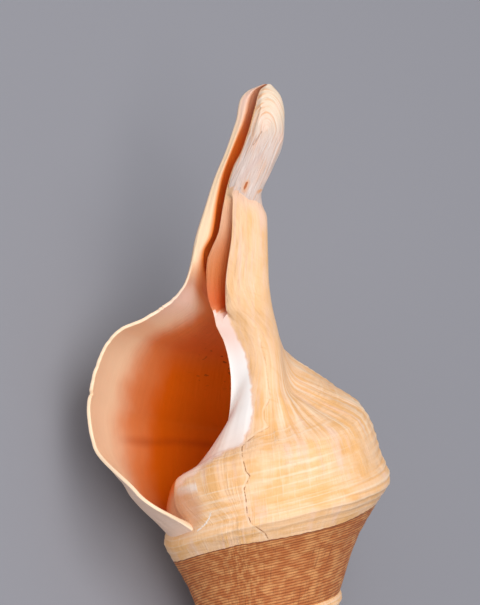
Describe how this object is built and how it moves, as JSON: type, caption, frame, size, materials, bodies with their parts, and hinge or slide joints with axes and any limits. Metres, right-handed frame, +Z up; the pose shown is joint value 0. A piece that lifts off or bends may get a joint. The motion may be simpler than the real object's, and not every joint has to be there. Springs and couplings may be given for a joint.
{
  "type": "australian trumpet sea shell",
  "caption": "Large spindle-shaped sea snail shell with a keeled spire, wide apricot aperture, glossy columellar lip and a long open siphonal canal, lying on its back.",
  "frame": {"origin": "on the resting surface, under the middle of the shell's box", "axes": "+Z up from the resting surface, with the aperture facing up and the canal end raised; +Y away from a viewer who looks into the aperture; +X to that viewer's right"},
  "size_m": [0.4834, 0.2812, 0.2437],
  "materials": {
    "shell": "grown shell: satin apricot outside, glossy orange and cream inside the aperture, brown periostracum on the spire ramps"
  },
  "bodies": {
    "root": {"shell": "shell"}
  },
  "joints": []
}
